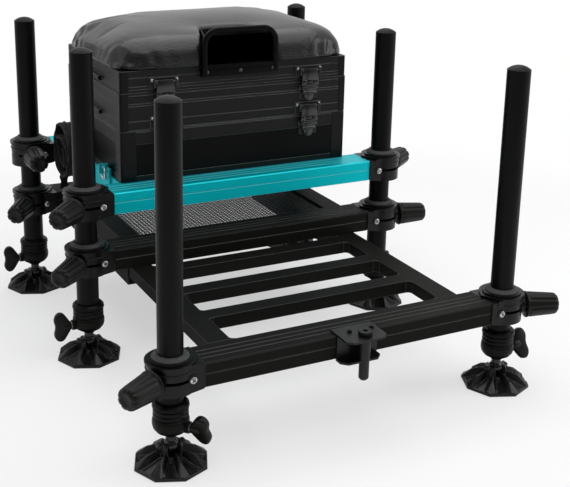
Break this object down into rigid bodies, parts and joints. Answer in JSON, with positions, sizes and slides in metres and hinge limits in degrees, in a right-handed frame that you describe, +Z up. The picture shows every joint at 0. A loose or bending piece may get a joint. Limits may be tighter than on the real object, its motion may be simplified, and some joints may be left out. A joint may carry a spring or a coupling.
{
  "type": "fishing seat box on an adjustable leg frame",
  "caption": "Padded fishing seat box on a rail frame with clamped adjustable legs, ridged tilting feet and a footplate that slides out.",
  "frame": {"origin": "on the ground, under the middle of the whole seat with the footplate drawn out", "axes": "+Z up, -Y towards the footplate, +X to the viewer's right when looking along +Y"},
  "size_m": [0.7378, 0.826, 0.54],
  "materials": {
    "teal_paint": "satin",
    "black_casting": "matt painted",
    "bushing_plastic": "matt",
    "screw_steel": "bright",
    "box_aluminium": "matt anodised",
    "panel_plastic": "smooth",
    "ring_steel": "bright",
    "webbing": "woven",
    "black_aluminium": "matt anodised",
    "net_wire": "dull",
    "bracket_steel": "satin black",
    "cushion_vinyl": "grained vinyl over foam",
    "handle_plastic": "moulded",
    "leg_tube": "matt anodised",
    "stem_steel": "black",
    "foot_plastic": "matt",
    "knob_plastic": "moulded",
    "latch_metal": "satin black"
  },
  "bodies": {
    "seat_frame": {"upper_frame_rails": "teal_paint", "upper_corner_clamps": "black_casting", "upper_clamp_bushings": "bushing_plastic", "upper_clamp_screws": "screw_steel", "base_box": "box_aluminium", "base_panels": "panel_plastic", "strap_rings": "ring_steel", "shoulder_strap": "webbing"},
    "lower_frame": {"lower_frame_rails": "black_aluminium", "lower_corner_clamps": "black_casting", "lower_clamp_bushings": "bushing_plastic", "mesh_panel": "net_wire", "footplate_runners": "black_aluminium"},
    "footplate": {"footplate_frame": "black_aluminium", "footplate_clamps": "black_casting", "footplate_bushings": "bushing_plastic", "accessory_bracket": "bracket_steel"},
    "accessory_bolt": {"bracket_bolt": "bracket_steel"},
    "tray": {"tray_box": "box_aluminium"},
    "lid": {"lid_frame": "box_aluminium", "seat_cushion": "cushion_vinyl", "lift_handle": "handle_plastic"},
    "leg_front_left": {"leg_front_left": "leg_tube"},
    "stem_front_left": {"stem_front_left": "stem_steel"},
    "foot_front_left": {"foot_front_left": "foot_plastic"},
    "wing_screw_front_left": {"wing_screw_front_left": "knob_plastic"},
    "leg_front_right": {"leg_front_right": "leg_tube"},
    "stem_front_right": {"stem_front_right": "stem_steel"},
    "foot_front_right": {"foot_front_right": "foot_plastic"},
    "wing_screw_front_right": {"wing_screw_front_right": "knob_plastic"},
    "leg_middle_left": {"leg_middle_left": "leg_tube"},
    "stem_middle_left": {"stem_middle_left": "stem_steel"},
    "foot_middle_left": {"foot_middle_left": "foot_plastic"},
    "wing_screw_middle_left": {"wing_screw_middle_left": "knob_plastic"},
    "leg_middle_right": {"leg_middle_right": "leg_tube"},
    "stem_middle_right": {"stem_middle_right": "stem_steel"},
    "foot_middle_right": {"foot_middle_right": "foot_plastic"},
    "wing_screw_middle_right": {"wing_screw_middle_right": "knob_plastic"},
    "leg_rear_left": {"leg_rear_left": "leg_tube"},
    "stem_rear_left": {"stem_rear_left": "stem_steel"},
    "foot_rear_left": {"foot_rear_left": "foot_plastic"},
    "wing_screw_rear_left": {"wing_screw_rear_left": "knob_plastic"},
    "leg_rear_right": {"leg_rear_right": "leg_tube"},
    "stem_rear_right": {"stem_rear_right": "stem_steel"},
    "foot_rear_right": {"foot_rear_right": "foot_plastic"},
    "wing_screw_rear_right": {"wing_screw_rear_right": "knob_plastic"},
    "knob_upper_middle_left": {"knob_upper_middle_left": "knob_plastic"},
    "knob_upper_middle_right": {"knob_upper_middle_right": "knob_plastic"},
    "knob_upper_rear_left": {"knob_upper_rear_left": "knob_plastic"},
    "knob_upper_rear_right": {"knob_upper_rear_right": "knob_plastic"},
    "knob_lower_middle_left": {"knob_lower_middle_left": "knob_plastic"},
    "knob_lower_middle_right": {"knob_lower_middle_right": "knob_plastic"},
    "knob_lower_rear_left": {"knob_lower_rear_left": "knob_plastic"},
    "knob_lower_rear_right": {"knob_lower_rear_right": "knob_plastic"},
    "knob_footplate_left": {"knob_footplate_left": "knob_plastic"},
    "knob_footplate_right": {"knob_footplate_right": "knob_plastic"},
    "latch_lid_left": {"latch_lid_left": "latch_metal"},
    "latch_lid_right": {"latch_lid_right": "latch_metal"},
    "latch_tray_left": {"latch_tray_left": "latch_metal"},
    "latch_tray_right": {"latch_tray_right": "latch_metal"}
  },
  "joints": [
    {"name": "lower_frame_height", "type": "slide", "parent": "seat_frame", "child": "lower_frame", "axis": [0, 0, 1], "range_m": [-0.02, 0.03]},
    {"name": "footplate_reach", "type": "slide", "parent": "lower_frame", "child": "footplate", "axis": [0, 1, 0], "range_m": [0, 0.25]},
    {"name": "leg_height_front_left", "type": "slide", "parent": "footplate", "child": "leg_front_left", "axis": [0, 0, 1], "range_m": [-0.3, 0.012]},
    {"name": "stem_reach_front_left", "type": "slide", "parent": "leg_front_left", "child": "stem_front_left", "axis": [0, 0, 1], "range_m": [-0.08, 0]},
    {"name": "foot_tilt_front_left", "type": "hinge", "parent": "stem_front_left", "child": "foot_front_left", "pos_m": [-0.279, -0.349, 0.028], "axis": [1, 0, 0], "range_deg": [-15, 15]},
    {"name": "wing_screw_turn_front_left", "type": "hinge", "parent": "leg_front_left", "child": "wing_screw_front_left", "pos_m": [-0.279, -0.349, 0.06], "axis": [0.682, -0.7314, 0], "range_deg": [0, 180]},
    {"name": "leg_height_front_right", "type": "slide", "parent": "footplate", "child": "leg_front_right", "axis": [0, 0, 1], "range_m": [-0.3, 0.012]},
    {"name": "stem_reach_front_right", "type": "slide", "parent": "leg_front_right", "child": "stem_front_right", "axis": [0, 0, 1], "range_m": [-0.08, 0]},
    {"name": "foot_tilt_front_right", "type": "hinge", "parent": "stem_front_right", "child": "foot_front_right", "pos_m": [0.279, -0.349, 0.028], "axis": [1, 0, 0], "range_deg": [-15, 15]},
    {"name": "wing_screw_turn_front_right", "type": "hinge", "parent": "leg_front_right", "child": "wing_screw_front_right", "pos_m": [0.279, -0.349, 0.06], "axis": [1, 0, 0], "range_deg": [0, 180]},
    {"name": "leg_height_middle_left", "type": "slide", "parent": "seat_frame", "child": "leg_middle_left", "axis": [0, 0, 1], "range_m": [-0.2, 0.02]},
    {"name": "stem_reach_middle_left", "type": "slide", "parent": "leg_middle_left", "child": "stem_middle_left", "axis": [0, 0, 1], "range_m": [-0.08, 0]},
    {"name": "foot_tilt_middle_left", "type": "hinge", "parent": "stem_middle_left", "child": "foot_middle_left", "pos_m": [-0.279, 0.019, 0.028], "axis": [1, 0, 0], "range_deg": [-15, 15]},
    {"name": "wing_screw_turn_middle_left", "type": "hinge", "parent": "leg_middle_left", "child": "wing_screw_middle_left", "pos_m": [-0.279, 0.019, 0.06], "axis": [-1, 0, 0], "range_deg": [0, 180]},
    {"name": "leg_height_middle_right", "type": "slide", "parent": "seat_frame", "child": "leg_middle_right", "axis": [0, 0, 1], "range_m": [-0.2, 0.02]},
    {"name": "stem_reach_middle_right", "type": "slide", "parent": "leg_middle_right", "child": "stem_middle_right", "axis": [0, 0, 1], "range_m": [-0.08, 0]},
    {"name": "foot_tilt_middle_right", "type": "hinge", "parent": "stem_middle_right", "child": "foot_middle_right", "pos_m": [0.279, 0.019, 0.028], "axis": [1, 0, 0], "range_deg": [-15, 15]},
    {"name": "wing_screw_turn_middle_right", "type": "hinge", "parent": "leg_middle_right", "child": "wing_screw_middle_right", "pos_m": [0.279, 0.019, 0.06], "axis": [0.8192, 0.5736, 0], "range_deg": [0, 180]},
    {"name": "leg_height_rear_left", "type": "slide", "parent": "seat_frame", "child": "leg_rear_left", "axis": [0, 0, 1], "range_m": [-0.2, 0.02]},
    {"name": "stem_reach_rear_left", "type": "slide", "parent": "leg_rear_left", "child": "stem_rear_left", "axis": [0, 0, 1], "range_m": [-0.08, 0]},
    {"name": "foot_tilt_rear_left", "type": "hinge", "parent": "stem_rear_left", "child": "foot_rear_left", "pos_m": [-0.279, 0.359, 0.028], "axis": [1, 0, 0], "range_deg": [-15, 15]},
    {"name": "wing_screw_turn_rear_left", "type": "hinge", "parent": "leg_rear_left", "child": "wing_screw_rear_left", "pos_m": [-0.279, 0.359, 0.06], "axis": [-1, 0, 0], "range_deg": [0, 180]},
    {"name": "leg_height_rear_right", "type": "slide", "parent": "seat_frame", "child": "leg_rear_right", "axis": [0, 0, 1], "range_m": [-0.2, 0.02]},
    {"name": "stem_reach_rear_right", "type": "slide", "parent": "leg_rear_right", "child": "stem_rear_right", "axis": [0, 0, 1], "range_m": [-0.08, 0]},
    {"name": "foot_tilt_rear_right", "type": "hinge", "parent": "stem_rear_right", "child": "foot_rear_right", "pos_m": [0.279, 0.359, 0.028], "axis": [1, 0, 0], "range_deg": [-15, 15]},
    {"name": "wing_screw_turn_rear_right", "type": "hinge", "parent": "leg_rear_right", "child": "wing_screw_rear_right", "pos_m": [0.279, 0.359, 0.06], "axis": [1, 0, 0], "range_deg": [0, 180]},
    {"name": "knob_turn_upper_middle_left", "type": "hinge", "parent": "seat_frame", "child": "knob_upper_middle_left", "pos_m": [-0.279, 0.019, 0.2665], "axis": [-0.7071, -0.7071, 0], "range_deg": [0, 180]},
    {"name": "knob_turn_upper_middle_right", "type": "hinge", "parent": "seat_frame", "child": "knob_upper_middle_right", "pos_m": [0.279, 0.019, 0.2665], "axis": [0.866, 0.5, 0], "range_deg": [0, 180]},
    {"name": "knob_turn_upper_rear_left", "type": "hinge", "parent": "seat_frame", "child": "knob_upper_rear_left", "pos_m": [-0.279, 0.359, 0.2665], "axis": [-0.0698, -0.9976, 0], "range_deg": [0, 180]},
    {"name": "knob_turn_upper_rear_right", "type": "hinge", "parent": "seat_frame", "child": "knob_upper_rear_right", "pos_m": [0.279, 0.359, 0.2665], "axis": [0.0698, -0.9976, 0], "range_deg": [0, 180]},
    {"name": "knob_turn_lower_middle_left", "type": "hinge", "parent": "lower_frame", "child": "knob_lower_middle_left", "pos_m": [-0.279, 0.019, 0.1705], "axis": [-0.7071, -0.7071, 0], "range_deg": [0, 180]},
    {"name": "knob_turn_lower_middle_right", "type": "hinge", "parent": "lower_frame", "child": "knob_lower_middle_right", "pos_m": [0.279, 0.019, 0.1705], "axis": [0.9848, -0.1736, 0], "range_deg": [0, 180]},
    {"name": "knob_turn_lower_rear_left", "type": "hinge", "parent": "lower_frame", "child": "knob_lower_rear_left", "pos_m": [-0.279, 0.359, 0.1705], "axis": [-0.5592, -0.829, 0], "range_deg": [0, 180]},
    {"name": "knob_turn_lower_rear_right", "type": "hinge", "parent": "lower_frame", "child": "knob_lower_rear_right", "pos_m": [0.279, 0.359, 0.1705], "axis": [0.5592, -0.829, 0], "range_deg": [0, 180]},
    {"name": "knob_turn_footplate_left", "type": "hinge", "parent": "footplate", "child": "knob_footplate_left", "pos_m": [-0.279, -0.349, 0.135], "axis": [-0.866, -0.5, 0], "range_deg": [0, 180]},
    {"name": "knob_turn_footplate_right", "type": "hinge", "parent": "footplate", "child": "knob_footplate_right", "pos_m": [0.279, -0.349, 0.135], "axis": [0.9397, -0.342, 0], "range_deg": [0, 180]},
    {"name": "tray_hinge", "type": "hinge", "parent": "seat_frame", "child": "tray", "pos_m": [0, 0.3328, 0.372], "axis": [-1, 0, 0], "range_deg": [0, 80]},
    {"name": "lid_hinge", "type": "hinge", "parent": "tray", "child": "lid", "pos_m": [0, 0.3328, 0.436], "axis": [-1, 0, 0], "range_deg": [0, 95]},
    {"name": "latch_lever_lid_left", "type": "hinge", "parent": "lid", "child": "latch_lid_left", "pos_m": [-0.1345, 0.0325, 0.453], "axis": [-1, 0, 0], "range_deg": [0, 100]},
    {"name": "latch_lever_lid_right", "type": "hinge", "parent": "lid", "child": "latch_lid_right", "pos_m": [0.1345, 0.0325, 0.453], "axis": [-1, 0, 0], "range_deg": [0, 100]},
    {"name": "latch_lever_tray_left", "type": "hinge", "parent": "tray", "child": "latch_tray_left", "pos_m": [-0.1345, 0.0325, 0.389], "axis": [-1, 0, 0], "range_deg": [0, 100]},
    {"name": "latch_lever_tray_right", "type": "hinge", "parent": "tray", "child": "latch_tray_right", "pos_m": [0.1345, 0.0325, 0.389], "axis": [-1, 0, 0], "range_deg": [0, 100]},
    {"name": "bolt_turn", "type": "hinge", "parent": "footplate", "child": "accessory_bolt", "pos_m": [0, -0.395, 0.1545], "axis": [0, 0, 1], "range_deg": [0, 180]}
  ]
}
